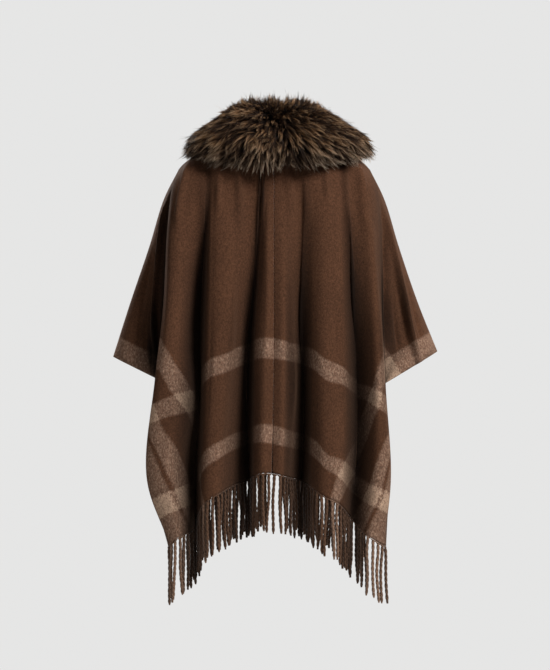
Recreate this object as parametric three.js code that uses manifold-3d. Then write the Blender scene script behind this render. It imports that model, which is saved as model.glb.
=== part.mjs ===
// Cape of brushed wool with a fur collar and a corded fringe, in its worn form.
// Millimetres, +Z up, front towards -Y. The origin is at the base of the neck, where the cape is held.
import * as THREE from 'three';
import { mergeVertices } from 'three/addons/utils/BufferGeometryUtils.js';
import Module from 'manifold-3d';

// Driving dimensions
const WALL = 2.4;            // thickness of the wool
const SEAM_GAP = 0.4;        // between two pieces that are sewn together
const HEM_GAP = 0.6;         // measured straight down, between the slanting hem and the strip of the fringe
const FRINGE_PITCH = 13;     // between two cords of the fringe, along the hem
const CORD_DIAMETER = 8;
const CORD_LENGTH = 124;
const CORD_SIDES = 3;
const CORD_START = 5;        // below the hem line, inside the strip
const CORD_LEAN = 4;         // how far the foot of a cord swings out of plumb
const CORD_STEP = { across: 2.4, along: 1.7, turn: 1.3 };  // radians from one cord to the next
const STRIP_HEIGHT = 6;      // the narrow strip that the cords are fused into
const ROWS_PER_LEVEL = 3;    // mesh rows between two levels of the drape
const COLUMNS_PER_FOLD = 3;  // mesh columns between two fold lines
const WELD = 1e-4;           // points nearer than this are one point
const ROUNDING = 1e-9;       // shares nearer than this are the same share

// Heights of the levels, as a share of the way from the hem to the top edge
const LEVELS = [1, 0.84, 0.62, 0.43, 0.17, 0];
const SLEEVE_LEVEL = 3;      // the sleeve edge meets the body at this level

const WOOL = { color: 0x4e362a, roughness: 0.95, metalness: 0 };
const FUR = { color: 0x4a3527, roughness: 0.9, metalness: 0 };
const CORD = { color: 0x644d3e, roughness: 0.95, metalness: 0 };

// Rows of a short table as objects with the names of its columns
function table(columns, rows) {
  return rows.map((row) => Object.fromEntries(columns.map((column, i) => [column, row[i]])));
}

// Drape of each panel, one row for each fold line, from the centre to the side.
// top: distance from the centre at the top edge. hem: height of the hem. across and depth: distance from
// the centre, and behind the neck (before it, on a front), at the yoke, blade, waist, hip and hem levels.
const FOLD_COLUMNS = ['name', 'top', 'hem', 'across', 'depth'];
const BACK_LEFT = {
  side: 1,
  face: 1,
  corner: [339, -456],
  folds: table(FOLD_COLUMNS, [
    ['seam', 0, -697, [0, 0, 0, 2, 5], [110, 126, 130, 134, 136]],
    ['centre ridge', 13, -697, [14, 16, 19, 22, 24], [111, 129, 135, 140, 142]],
    ['first lip', 23, -702, [26, 33, 38, 40, 42], [107, 122, 123, 126, 128]],
    ['first valley', 30, -712, [34, 43, 51, 56, 57], [103, 100, 78, 62, 58]],
    ['first rise', 48, -722, [66, 70, 76, 82, 84], [107, 117, 110, 104, 100]],
    ['second ridge', 74, -742, [100, 97, 103, 117, 121], [112, 133, 140, 146, 148]],
    ['second lip', 112, -759, [136, 141, 145, 149, 152], [107, 126, 134, 140, 142]],
    ['second valley', 135, -806, [150, 158, 166, 176, 176], [96, 72, 56, 54, 62]],
    ['side ridge', 165, -831, [200, 203, 210, 222, 199], [103, 126, 134, 136, 126]],
    ['side lip', 190, -845, [220, 234, 246, 263, 214], [84, 106, 124, 118, 118]],
    ['side edge', 200, -850, [221, 226, 229, 252, 220], [48, 52, 58, 78, 106]],
  ]),
};

const BACK_RIGHT = {
  side: -1,
  face: 1,
  corner: [344, -445],
  folds: table(FOLD_COLUMNS, [
    ['seam', 0, -697, [0, 0, 0, -2, -5], [110, 126, 130, 134, 136]],
    ['centre ridge', 16, -701, [16, 18, 18, 17, 14], [111, 130, 136, 139, 140]],
    ['first rise', 30, -707, [38, 42, 44, 44, 40], [107, 116, 117, 116, 114]],
    ['first valley', 45, -714, [54, 62, 65, 64, 60], [103, 101, 86, 72, 68]],
    ['second rise', 62, -726, [76, 84, 86, 88, 86], [107, 116, 114, 108, 106]],
    ['second ridge', 88, -744, [104, 112, 114, 120, 116], [112, 133, 140, 146, 146]],
    ['second lip', 112, -758, [132, 138, 142, 142, 132], [108, 128, 134, 136, 138]],
    ['second valley', 140, -796, [158, 172, 180, 178, 167], [98, 92, 78, 72, 80]],
    ['side ridge', 170, -829, [196, 208, 216, 216, 198], [102, 122, 126, 128, 124]],
    ['side lip', 192, -846, [214, 222, 230, 242, 224], [86, 108, 122, 118, 116]],
    ['side edge', 202, -850, [224, 224, 232, 238, 233], [56, 62, 72, 84, 102]],
  ]),
};

const FRONT_FOLDS = table(FOLD_COLUMNS, [
  ['front edge', 12, -700, [12, 12, 12, 12, 12], [120, 142, 146, 148, 150]],
  ['first ridge', 24, -706, [36, 40, 42, 44, 44], [126, 152, 158, 162, 164]],
  ['first valley', 40, -718, [66, 70, 72, 74, 72], [120, 138, 130, 120, 114]],
  ['second ridge', 66, -735, [100, 106, 108, 108, 104], [118, 142, 150, 154, 154]],
  ['second valley', 112, -755, [140, 146, 148, 144, 134], [108, 120, 110, 100, 96]],
  ['side ridge', 160, -780, [184, 190, 194, 188, 164], [100, 118, 126, 130, 128]],
  ['side lip', 190, -797, [212, 222, 226, 226, 184], [80, 98, 112, 112, 114]],
  ['side edge', 200, -803, [214, 216, 214, 226, 192], [46, 52, 60, 84, 102]],
]);

const FRONT_LEFT = { side: 1, face: -1, corner: [339, -456], folds: FRONT_FOLDS };
const FRONT_RIGHT = { side: -1, face: -1, corner: [344, -445], folds: FRONT_FOLDS };

// The top edge: the neck, then the shoulder and arm seam, which lies in the plane y = 0
const NECK = { width: 72, back: 82, front: 90, frontDrop: 56 };
const SHOULDER = [
  { name: 'neck side', x: 72, z: 0 },
  { name: 'shoulder', x: 138, z: -19 },
  { name: 'shoulder point', x: 180, z: -38 },
  { name: 'upper arm', x: 202, z: -62 },
];
const ARM = [
  { name: 'biceps', x: 232, z: -124 },
  { name: 'elbow', x: 262, z: -222 },
  { name: 'forearm', x: 302, z: -340 },
];
// How far the cloth bows out over the arm, down to which share of its way to the notch, and how soon
const ARM_ROUND = { depth: 34, share: 0.3, power: 0.7 };
// Where the cloth turns over the shoulder, as shares of the way from the top edge to the yoke
const SHOULDER_ROUND = { across: 0.6, out: 0.72, down: 0.3 };
const WING_FOLD = { depth: 7, count: 2.6 };   // the soft folds below the arm
const WING_COLUMNS = 8;
const NEAR_RIDGE = 3;          // the top edge is cut square to the seam within this distance of it

const CORD_RINGS = [
  { name: 'root', share: 0, width: 0.15 },
  { name: 'shoulder', share: 0.16, width: 0.9 },
  { name: 'middle', share: 0.5, width: 1 },
  { name: 'foot', share: 1, width: 0.95 },
];

// The collar: a section at each turn from the centre back, as reach from the neck's axis and height.
// foot, top and under lie next to the neck and the cloth; crest, swell, brow and tip are the fur's outside.
const COLLAR_CORNERS = ['foot', 'top', 'crest', 'swell', 'brow', 'tip', 'under'];
const COLLAR = table(['turn', ...COLLAR_CORNERS], [
  [0, [90, 9], [70, 80], [100, 82], [148, 40], [160, -20], [130, -70], [113, -28]],
  [32, [87, 9], [68, 80], [98, 84], [154, 36], [172, -18], [140, -66], [113, -24]],
  [62, [82, 9], [66, 74], [90, 78], [150, 34], [188, -8], [172, -52], [122, -20]],
  [92, [78, 9], [64, 60], [84, 68], [138, 34], [182, 2], [190, -33], [130, -8]],
  [120, [82, 0], [68, 46], [90, 52], [144, 18], [176, -16], [172, -50], [120, -18]],
  [150, [90, -30], [76, 16], [98, 20], [148, -24], [162, -76], [150, -118], [122, -54]],
  [170, [96, -42], [86, -6], [104, -6], [146, -48], [156, -100], [144, -146], [128, -90]],
]);
const COLLAR_STEPS = 40;
const COLLAR_SECTION = 14;
const COLLAR_END = 0.75;       // the size of the section at each front end
const RIGHT_REACH = 0.1;       // how much further the collar lies out over the right shoulder

const vector = (x, y, z) => new THREE.Vector3(x, y, z);

// A smooth line through points, sampled at a fractional index
function through(points, index) {
  const curve = new THREE.CatmullRomCurve3(points, false, 'centripetal');
  return curve.getPoint(THREE.MathUtils.clamp(index / (points.length - 1), 0, 1));
}

// The top edge of a panel at a distance from the centre
function topEdge(panel, distance) {
  if (distance < NECK.width) {
    const angle = Math.asin(distance / NECK.width);
    const reach = panel.face > 0 ? NECK.back : NECK.front;
    const drop = panel.face > 0 ? 0 : NECK.frontDrop;
    return vector(distance, panel.face * reach * Math.cos(angle), -drop * Math.cos(angle));
  }
  const next = Math.max(SHOULDER.findIndex((row) => row.x >= distance), 1);
  const [low, high] = [SHOULDER[next - 1], SHOULDER[next]];
  const share = (distance - low.x) / (high.x - low.x);
  return vector(distance, 0, low.z + share * (high.z - low.z));
}

// One fold line from the top edge down to the hem, at a share of the way up
function foldLine(panel, fold, share) {
  const top = topEdge(panel, fold.top);
  const levels = fold.across.map((x, i) => (
    vector(x, panel.face * fold.depth[i], fold.hem + LEVELS[i + 1] * (top.z - fold.hem))));
  const yoke = levels[0];
  const shoulder = vector(
    THREE.MathUtils.lerp(top.x, yoke.x, SHOULDER_ROUND.across),
    THREE.MathUtils.lerp(top.y, yoke.y, SHOULDER_ROUND.out),
    THREE.MathUtils.lerp(top.z, yoke.z, SHOULDER_ROUND.down),
  );
  const heights = [1, THREE.MathUtils.lerp(1, LEVELS[1], SHOULDER_ROUND.down), ...LEVELS.slice(1)];
  const lower = Math.max(heights.findIndex((height) => height <= share + ROUNDING), 1);
  const between = (heights[lower - 1] - share) / (heights[lower - 1] - heights[lower]);
  return through([top, shoulder, ...levels], lower - 1 + between);
}

// A point of the body of a panel: column counts fold lines, share is the way up from the hem
function bodyPoint(panel, column, share) {
  const point = through(panel.folds.map((fold) => foldLine(panel, fold, share)), column);
  return vector(panel.side * point.x, point.y, point.z);
}

// A point of the wing: along runs down the arm, down runs from the arm to the notch under the sleeve
function wingPoint(panel, along, down) {
  const last = panel.folds.length - 1;
  const top = topEdge(panel, panel.folds[last].top);
  const cuff = vector(panel.corner[0], 0, panel.corner[1]);
  const places = [top, ...ARM.map((row) => vector(row.x, 0, row.z)), cuff];
  const arm = through(places, along * (places.length - 1));
  const notch = bodyPoint(panel, last, LEVELS[SLEEVE_LEVEL]);
  const inner = bodyPoint(panel, last, 1 - down * (1 - LEVELS[SLEEVE_LEVEL]));
  const straight = vector(panel.side * top.x, top.y, top.z).lerp(notch, down);
  const point = vector(panel.side * arm.x, arm.y, arm.z).lerp(notch, down);
  point.add(inner.sub(straight).multiplyScalar((1 - along) ** 2));
  const bow = Math.sin(0.5 * Math.PI * Math.min(down / ARM_ROUND.share, 1) ** ARM_ROUND.power);
  const wave = Math.sin(Math.PI * down) * Math.sin(WING_FOLD.count * Math.PI * along);
  point.y += panel.face * along * (ARM_ROUND.depth * bow * (1 - down) + WING_FOLD.depth * wave);
  return point;
}

// The shares of the way up at which a panel has a row of points
function rowShares(rowsPerLevel) {
  const shares = [];
  LEVELS.slice(0, -1).forEach((level, i) => {
    for (let r = 0; r < rowsPerLevel; r += 1) {
      shares.push(THREE.MathUtils.lerp(level, LEVELS[i + 1], r / rowsPerLevel));
    }
  });
  return [...shares, 0];
}

// The middle surface of a panel: points, the direction that each seam edge is cut along, and triangles
function panelSurface(panel) {
  const shares = rowShares(ROWS_PER_LEVEL);
  const columns = (panel.folds.length - 1) * COLUMNS_PER_FOLD;
  const notchRow = SLEEVE_LEVEL * ROWS_PER_LEVEL;
  const points = [];
  const cuts = [];
  const triangles = [];
  const add = (point, row, onSeam) => {
    const onRidge = row === 0 && Math.abs(point.y) < NEAR_RIDGE;
    const onHem = row === shares.length - 1;
    if (onRidge) point.y = panel.face * Math.max(panel.face * point.y, SEAM_GAP / 2);
    if (onSeam) point.x += panel.side * SEAM_GAP / 2;
    const cut = [onRidge && vector(0, 1, 0), onHem && vector(0, 0, 1), onSeam && vector(1, 0, 0)];
    cuts.push(cut.filter(Boolean));
    return points.push(point) - 1;
  };
  const grid = (rows, width, cornerAt) => {
    for (let r = 0; r < rows; r += 1) {
      for (let c = 0; c < width; c += 1) {
        const [a, b] = [cornerAt(r, c), cornerAt(r, c + 1)];
        const [d, e] = [cornerAt(r + 1, c), cornerAt(r + 1, c + 1)];
        triangles.push([a, d, b], [b, d, e]);
      }
    }
  };
  const body = shares.map((share, r) => Array.from({ length: columns + 1 }, (_, c) => {
    const point = bodyPoint(panel, c / COLUMNS_PER_FOLD, share);
    return add(point, r, c === 0 && panel.folds[0].name === 'seam');
  }));
  const wingColumns = Array.from({ length: WING_COLUMNS + 1 }, (_, c) => c);
  const wing = shares.slice(0, notchRow).map((share, r) => wingColumns.map((c) => {
    const down = (1 - share) / (1 - LEVELS[SLEEVE_LEVEL]);
    return c === 0 ? body[r][columns] : add(wingPoint(panel, c / WING_COLUMNS, down), r, false);
  }));
  wing.push(wingColumns.map(() => body[notchRow][columns]));
  grid(shares.length - 1, columns, (r, c) => body[r][c]);
  grid(notchRow, WING_COLUMNS, (r, c) => wing[r][c]);
  return { points, cuts, triangles, hem: body.at(-1) };
}

// The faces of a middle surface, without those that close up at the notch, all turned outwards
function facesOf(panel, triangles) {
  const flip = panel.side * panel.face < 0;
  return triangles.filter(([a, b, c]) => a !== b && b !== c && c !== a)
    .map(([a, b, c]) => (flip ? [a, c, b] : [a, b, c]));
}

// Half the wall's thickness at each point, along the normal, or square to the seam on a sewn edge
function offsetsOf({ points, cuts }, faces) {
  const normals = points.map(() => vector(0, 0, 0));
  faces.forEach(([a, b, c]) => {
    const normal = points[b].clone().sub(points[a]).cross(points[c].clone().sub(points[a]));
    [a, b, c].forEach((corner) => normals[corner].add(normal));
  });
  normals.forEach((normal, i) => {
    cuts[i].forEach((cut) => normal.addScaledVector(cut, -normal.dot(cut)));
    normal.setLength(WALL / 2);
  });
  return normals;
}

// A closed wall of even thickness round a middle surface
function wall(points, faces, offsets) {
  const outside = points.map((point, i) => point.clone().add(offsets[i]));
  const inside = points.map((point, i) => point.clone().sub(offsets[i]));
  const shell = [];
  const open = new Map();
  faces.forEach(([a, b, c]) => {
    shell.push([a, b, c], [a + points.length, c + points.length, b + points.length]);
    [[a, b], [b, c], [c, a]].forEach(([from, to]) => {
      if (!open.delete(`${to} ${from}`)) open.set(`${from} ${to}`, [from, to]);
    });
  });
  open.forEach(([from, to]) => {
    const [fromInside, toInside] = [from + points.length, to + points.length];
    const shorter = outside[from].distanceTo(inside[to]) < outside[to].distanceTo(inside[from]);
    if (shorter) shell.push([from, fromInside, toInside], [from, toInside, to]);
    else shell.push([from, fromInside, to], [to, fromInside, toInside]);
  });
  return solid([...outside, ...inside], shell);
}

function solid(points, triangles) {
  const geometry = new THREE.BufferGeometry();
  geometry.setAttribute('position', new THREE.Float32BufferAttribute(points.flatMap((p) => p.toArray()), 3));
  geometry.setIndex(triangles.flat());
  return geometry;
}

// The strip under a hem that holds the cords, as a wall of its own
function stripGeometry(panel, hem) {
  const lowered = (drop) => hem.map(({ point }) => point.clone().setZ(point.z - drop));
  const width = hem.length;
  const triangles = [];
  for (let c = 0; c < width - 1; c += 1) {
    triangles.push([c, c + width, c + 1], [c + 1, c + width, c + 1 + width]);
  }
  const points = [...lowered(HEM_GAP), ...lowered(HEM_GAP + STRIP_HEIGHT)];
  const offsets = [...hem, ...hem].map(({ offset }) => offset);
  return wall(points, facesOf(panel, triangles), offsets);
}

// One cord: a slim length with flat sides that hangs from the strip and leans a little
function cordGeometry(root, lean, turn) {
  const rings = CORD_RINGS.map((ring) => Array.from({ length: CORD_SIDES }, (_, k) => {
    const angle = turn + (2 * Math.PI * k) / CORD_SIDES;
    const radius = (ring.width * CORD_DIAMETER) / 2;
    return vector(
      root.x + lean.x * ring.share + radius * Math.cos(angle),
      root.y + lean.y * ring.share + radius * Math.sin(angle),
      root.z - ring.share * CORD_LENGTH,
    );
  }));
  const points = rings.flat();
  const triangles = [[0, 1, 2]];
  for (let r = 0; r < rings.length - 1; r += 1) {
    for (let k = 0; k < CORD_SIDES; k += 1) {
      const [a, b] = [CORD_SIDES * r + k, CORD_SIDES * r + ((k + 1) % CORD_SIDES)];
      triangles.push([a, a + CORD_SIDES, b], [b, a + CORD_SIDES, b + CORD_SIDES]);
    }
  }
  const last = points.length - CORD_SIDES;
  triangles.push([last, last + 2, last + 1]);
  return solid(points, triangles);
}

// Where the cords hang from a hem, one every pitch along it
function cordRoots(line) {
  const roots = [];
  let walked = 0;
  let next = FRINGE_PITCH / 2;
  for (let c = 1; c < line.length; c += 1) {
    const length = line[c].distanceTo(line[c - 1]);
    while (next <= walked + length) {
      roots.push(line[c - 1].clone().lerp(line[c], (next - walked) / length));
      next += FRINGE_PITCH;
    }
    walked += length;
  }
  return roots;
}

function fringeGeometry(panel, hem) {
  const cords = cordRoots(hem.map(({ point }) => point)).map((root, i) => {
    const across = CORD_LEAN * Math.sin(CORD_STEP.across * i + 1);
    const along = CORD_LEAN * Math.sin(CORD_STEP.along * i);
    const start = root.setZ(root.z - CORD_START);
    return toManifold(cordGeometry(start, vector(across, along, 0), CORD_STEP.turn * i));
  });
  const joined = cords.reduce((whole, cord) => whole.add(cord), toManifold(stripGeometry(panel, hem)));
  return fromManifold(joined);
}

function toManifold(geometry) {
  const merged = mergeVertices(geometry, WELD);
  return new wasm.Manifold(new wasm.Mesh({
    numProp: 3,
    vertProperties: new Float32Array(merged.attributes.position.array),
    triVerts: new Uint32Array(merged.index.array),
  }));
}

function fromManifold(manifold) {
  const mesh = manifold.getMesh();
  const geometry = new THREE.BufferGeometry();
  geometry.setAttribute('position', new THREE.BufferAttribute(new Float32Array(mesh.vertProperties), 3));
  geometry.setIndex(new THREE.BufferAttribute(new Uint32Array(mesh.triVerts), 1));
  return geometry;
}

// A section of the collar: place runs from -1 at one front end to 1 at the other
function collarSection(place) {
  const turn = Math.abs(place) * (COLLAR.length - 1);
  const side = place < 0 ? -1 : 1;
  const last = COLLAR.length - 1;
  const degrees = through(COLLAR.map((row) => vector(row.turn, 0, 0)), turn).x;
  const angle = THREE.MathUtils.degToRad(degrees);
  const reachOut = 1 + (side < 0 ? RIGHT_REACH * Math.sin(angle) : 0);
  const corners = COLLAR_CORNERS.map((corner) => (
    through(COLLAR.map((row) => vector(row[corner][0], 0, row[corner][1])), turn)));
  const outline = new THREE.CatmullRomCurve3(corners, true, 'centripetal');
  const middle = vector(0, 0, 0);
  corners.forEach((corner) => middle.addScaledVector(corner, 1 / corners.length));
  const size = turn > last - ROUNDING ? COLLAR_END : 1;
  return Array.from({ length: COLLAR_SECTION }, (_, k) => {
    const point = outline.getPoint(k / COLLAR_SECTION).sub(middle).multiplyScalar(size).add(middle);
    const reach = point.x * (point.x > COLLAR[0].top[0] ? reachOut : 1);
    return vector(side * reach * Math.sin(angle), reach * Math.cos(angle), point.z);
  });
}

function collarGeometry() {
  const places = Array.from({ length: COLLAR_STEPS + 1 }, (_, s) => (2 * s) / COLLAR_STEPS - 1);
  const sections = places.map(collarSection);
  const points = sections.flat();
  const triangles = [];
  for (let s = 0; s < COLLAR_STEPS; s += 1) {
    for (let k = 0; k < COLLAR_SECTION; k += 1) {
      const [a, b] = [s * COLLAR_SECTION + k, s * COLLAR_SECTION + ((k + 1) % COLLAR_SECTION)];
      triangles.push([a, a + COLLAR_SECTION, b], [b, a + COLLAR_SECTION, b + COLLAR_SECTION]);
    }
  }
  const last = COLLAR_STEPS * COLLAR_SECTION;
  for (let k = 1; k < COLLAR_SECTION - 1; k += 1) {
    triangles.push([0, k, k + 1], [last, last + k + 1, last + k]);
  }
  return solid(points, triangles);
}

function piece(name, geometry, look) {
  const material = new THREE.MeshStandardMaterial(look);
  const mesh = new THREE.Mesh(geometry, material);
  mesh.name = name;
  return mesh;
}

const wasm = await Module();
wasm.setup();

const cape = new THREE.Group();
const PANELS = {
  back_left: BACK_LEFT,
  back_right: BACK_RIGHT,
  front_left: FRONT_LEFT,
  front_right: FRONT_RIGHT,
};
Object.entries(PANELS).forEach(([name, panel]) => {
  const surface = panelSurface(panel);
  const faces = facesOf(panel, surface.triangles);
  const offsets = offsetsOf(surface, faces);
  const hem = surface.hem.map((corner) => ({ point: surface.points[corner], offset: offsets[corner] }));
  cape.add(piece(name, wall(surface.points, faces, offsets), WOOL));
  cape.add(piece(`fringe_${name}`, fringeGeometry(panel, hem), CORD));
});
cape.add(piece('fur_collar', collarGeometry(), FUR));

export default cape;
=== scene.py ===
import bpy
import numpy as np
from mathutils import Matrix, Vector


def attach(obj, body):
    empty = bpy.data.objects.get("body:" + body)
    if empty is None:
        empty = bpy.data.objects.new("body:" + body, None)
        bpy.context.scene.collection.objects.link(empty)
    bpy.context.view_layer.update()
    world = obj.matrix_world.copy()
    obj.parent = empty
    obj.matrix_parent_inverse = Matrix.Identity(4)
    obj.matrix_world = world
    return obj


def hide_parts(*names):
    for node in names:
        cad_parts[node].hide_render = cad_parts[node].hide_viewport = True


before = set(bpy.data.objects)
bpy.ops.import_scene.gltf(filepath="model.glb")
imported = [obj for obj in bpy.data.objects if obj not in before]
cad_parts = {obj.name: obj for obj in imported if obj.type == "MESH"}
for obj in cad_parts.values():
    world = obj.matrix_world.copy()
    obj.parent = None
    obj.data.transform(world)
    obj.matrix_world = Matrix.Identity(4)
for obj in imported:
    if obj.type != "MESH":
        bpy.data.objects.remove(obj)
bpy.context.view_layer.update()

MM = 0.001
SEED = 7

# Sizes in millimetres; the wall, the gap at the hem and the fringe are those of the solids
WALL = 2.4
SEAM_OPEN = 0.02  # the sewn edges close up in the looks
SEAM_DIP = 0.8  # and the centre-back seam lies a little deeper
NEAR_RIDGE = 3  # the top edge closes up where it is this near to the shoulder seam
HEM_GAP = 0.6
FRINGE_PITCH = 13
CORD_LENGTH = 124
CORD_START = 5
CORD_LEAN = 4
CORD_STEP = (2.4, 1.7)

# Heights of the levels of the drape, as shares of the way from the hem to the top edge
LEVELS = (1, 0.84, 0.62, 0.43, 0.17, 0)
NOTCH_SHARE = LEVELS[3]

# Mesh steps of the cloth
ROWS_ABOVE = 84
ROWS_BELOW = 58
FOLD_STEPS = 10
WING_STEPS = 30


def table(columns, rows):
    """Rows of a short table as dictionaries with the names of its columns."""
    return [dict(zip(columns, row)) for row in rows]


# Drape of each panel, one row for each fold line, from the centre to the side.
# top: distance from the centre at the top edge. hem: height of the hem. across and depth: distance from
# the centre, and behind the neck (before it, on a front), at the yoke, blade, waist, hip and hem levels.
FOLD_COLUMNS = ("name", "top", "hem", "across", "depth")
BACK_LEFT_FOLDS = table(FOLD_COLUMNS, [
    ("seam", 0, -697, (0, 0, 0, 2, 5), (110, 126, 130, 134, 136)),
    ("centre ridge", 13, -697, (14, 16, 19, 22, 24), (111, 129, 135, 140, 142)),
    ("first lip", 23, -702, (22, 28, 36, 39, 40), (105, 114, 118, 121, 124)),
    ("first valley", 30, -712, (30, 38, 47, 52, 53), (99, 94, 76, 62, 58)),
    ("first rise", 48, -722, (66, 70, 76, 82, 84), (106, 114, 106, 98, 94)),
    ("second ridge", 74, -742, (100, 97, 103, 117, 121), (112, 133, 140, 146, 148)),
    ("second lip", 112, -759, (129, 134, 137, 142, 145), (107, 127, 136, 142, 143)),
    ("second valley", 135, -806, (142, 150, 158, 167, 168), (92, 70, 56, 54, 62)),
    ("side ridge", 165, -831, (200, 203, 210, 222, 199), (103, 126, 134, 136, 126)),
    ("side lip", 190, -845, (220, 229, 246, 263, 214), (84, 106, 124, 118, 118)),
    ("side edge", 200, -850, (221, 226, 229, 252, 220), (48, 52, 58, 78, 106)),
])
BACK_RIGHT_FOLDS = table(FOLD_COLUMNS, [
    ("seam", 0, -697, (0, 0, 0, -2, -5), (110, 126, 130, 134, 136)),
    ("centre ridge", 16, -701, (16, 18, 18, 17, 14), (111, 130, 136, 139, 140)),
    ("first rise", 30, -707, (42, 38, 36, 35, 33), (104, 111, 110, 106, 102)),
    ("first valley", 45, -714, (62, 60, 60, 61, 58), (98, 96, 84, 71, 67)),
    ("second rise", 62, -726, (82, 82, 82, 82, 80), (108, 120, 124, 122, 120)),
    ("second ridge", 88, -744, (104, 106, 105, 107, 103), (112, 133, 140, 145, 145)),
    ("second lip", 112, -758, (132, 138, 142, 142, 132), (108, 128, 134, 136, 138)),
    ("second valley", 140, -796, (155, 164, 171, 170, 164), (94, 88, 76, 72, 79)),
    ("side ridge", 170, -829, (196, 208, 216, 216, 198), (102, 122, 126, 128, 124)),
    ("side lip", 192, -846, (214, 222, 230, 242, 224), (86, 102, 108, 112, 116)),
    ("side edge", 202, -850, (224, 224, 232, 238, 233), (66, 86, 94, 96, 102)),
])
FRONT_FOLDS = table(FOLD_COLUMNS, [
    ("front edge", 12, -700, (12, 12, 12, 12, 12), (120, 142, 146, 148, 150)),
    ("first ridge", 24, -706, (36, 40, 42, 44, 44), (126, 152, 158, 162, 164)),
    ("first valley", 40, -718, (66, 70, 72, 74, 72), (120, 138, 130, 120, 114)),
    ("second ridge", 66, -735, (100, 106, 108, 108, 104), (118, 142, 150, 154, 154)),
    ("second valley", 112, -755, (140, 146, 148, 144, 134), (108, 120, 110, 100, 96)),
    ("side ridge", 160, -780, (184, 190, 194, 188, 164), (100, 118, 126, 130, 128)),
    ("side lip", 190, -797, (212, 222, 226, 226, 184), (80, 98, 112, 112, 114)),
    ("side edge", 200, -803, (214, 216, 214, 226, 192), (46, 52, 60, 84, 102)),
])

# The top edge: the neck, then the shoulder and arm seam in the plane y = 0, as (across, height)
NECK = {"width": 72, "back": 82, "front": 90, "front_drop": 56}
SHOULDER = ((72, 0), (138, -19), (180, -38), (202, -62))
ARM = ((232, -124), (262, -222), (302, -340))
CORNERS = {1: (339, -456), -1: (344, -445)}  # the outer corner of the sleeve edge on each side
ARM_ROUND = {"depth": 34, "share": 0.3, "power": 0.7}
SHOULDER_ROUND = (0.6, 0.72, 0.3)
WING_FOLD = {"depth": 7, "count": 2.6}

# Crosswise bands: height over the hem of each band's lower and upper edge, at fold lines
WEFT_COLUMNS = ("fold", "low_1", "high_1", "low_2", "high_2")
LEFT_WEFT = table(WEFT_COLUMNS, [
    (0, 61, 100, 237, 280),
    (4, 74, 107, 245, 286),
    (5.8, 73, 110, 258, 296),
    (7.2, 54, 101, 256, 300),
    (8.2, 55, 95, 252, 294),
    (10, 50, 88, 246, 284),
])
RIGHT_WEFT = table(WEFT_COLUMNS, [
    (0, 61, 100, 238, 280),
    (2, 62, 95, 241, 279),
    (4.4, 64, 101, 245, 287),
    (5.3, 56, 86, 241, 284),
    (6.5, 48, 92, 248, 280),
    (7.5, 58, 99, 266, 298),
    (8.4, 66, 106, 267, 306),
    (10, 66, 106, 264, 302),
])
FRONT_WEFT = table(WEFT_COLUMNS, [(0, 62, 102, 240, 280)])

# Lengthwise bands of the back: distance from the seam along the cloth of the edges of the inner band,
# the outer band and the thin stripe beside it, at shares of the way up from the hem
WARP_COLUMNS = ("share", "inner_near", "inner_far", "outer_near", "outer_far", "thin_far")
LEFT_WARP = table(WARP_COLUMNS, [
    (0, 262, 274, 347, 398, 408),
    (0.05, 277, 287, 365, 424, 432),
    (0.09, 284, 314, 378, 440, 449),
    (0.13, 298, 338, 401, 448, 458),
    (0.165, 318, 352, 412, 459, 468),
    (0.205, 337, 367, 428, 466, 476),
    (0.25, 351, 381, 443, 478, 486),
    (0.3, 364, 398, 456, 494, 502),
    (0.345, 371, 415, 461, 500, 508),
    (0.38, 383, 422, 466, 512, 522),
    (0.45, 395, 429, 500, 560, 600),
    (0.47, 395, 470, 520, 560, 600),
    (0.53, 392, 470, 520, 560, 600),
    (0.545, 404, 470, 520, 560, 600),
])
RIGHT_WARP = table(WARP_COLUMNS, [
    (0, 222, 243, 315, 367, 376),
    (0.062, 231, 277, 347, 390, 398),
    (0.12, 250, 312, 376, 409, 416),
    (0.2, 300, 340, 393, 417, 425),
    (0.26, 316, 358, 401, 427, 435),
    (0.34, 337, 375, 425, 465, 505),
    (0.385, 348, 372, 445, 505, 565),
    (0.43, 348, 376, 465, 525, 605),
    (0.5, 348, 377, 465, 525, 605),
])
WARP_TOP = 0.555  # no lengthwise band shows on the body above this share
BAND_END = {"share": 700, "fold": 20}  # what a share of 1 and a fold line measure where a band ends
BAND_BLEND = 4  # over which the cords at a band's edge change colour
NO_BAND = -50.0  # well outside every band
# The same bands on the fronts, measured from the side edge, where they run off over the edge at the notch
FRONT_WARP = table(WARP_COLUMNS, [
    (0, 179, 141, 89, 53, 46),
    (0.17, 146, 108, 66, 30, 23),
    (0.33, 88, 48, 20, -14, -22),
    (0.43, 46, 8, -12, -44, -52),
    (0.52, 0, -38, -60, -94, -100),
])
SLEEVE_BAND = 43  # width of the band along the sleeve edge
SLEEVE_WRAP = 9  # how far it runs on past the edge, round the wall
SLEEVE_BAND_FOLD = {1: 9.5, -1: 8.75}  # on the body it shows beyond this fold line
SLEEVE_CROSSING = 39  # how far the crossing on the right sleeve reaches from the notch

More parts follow.
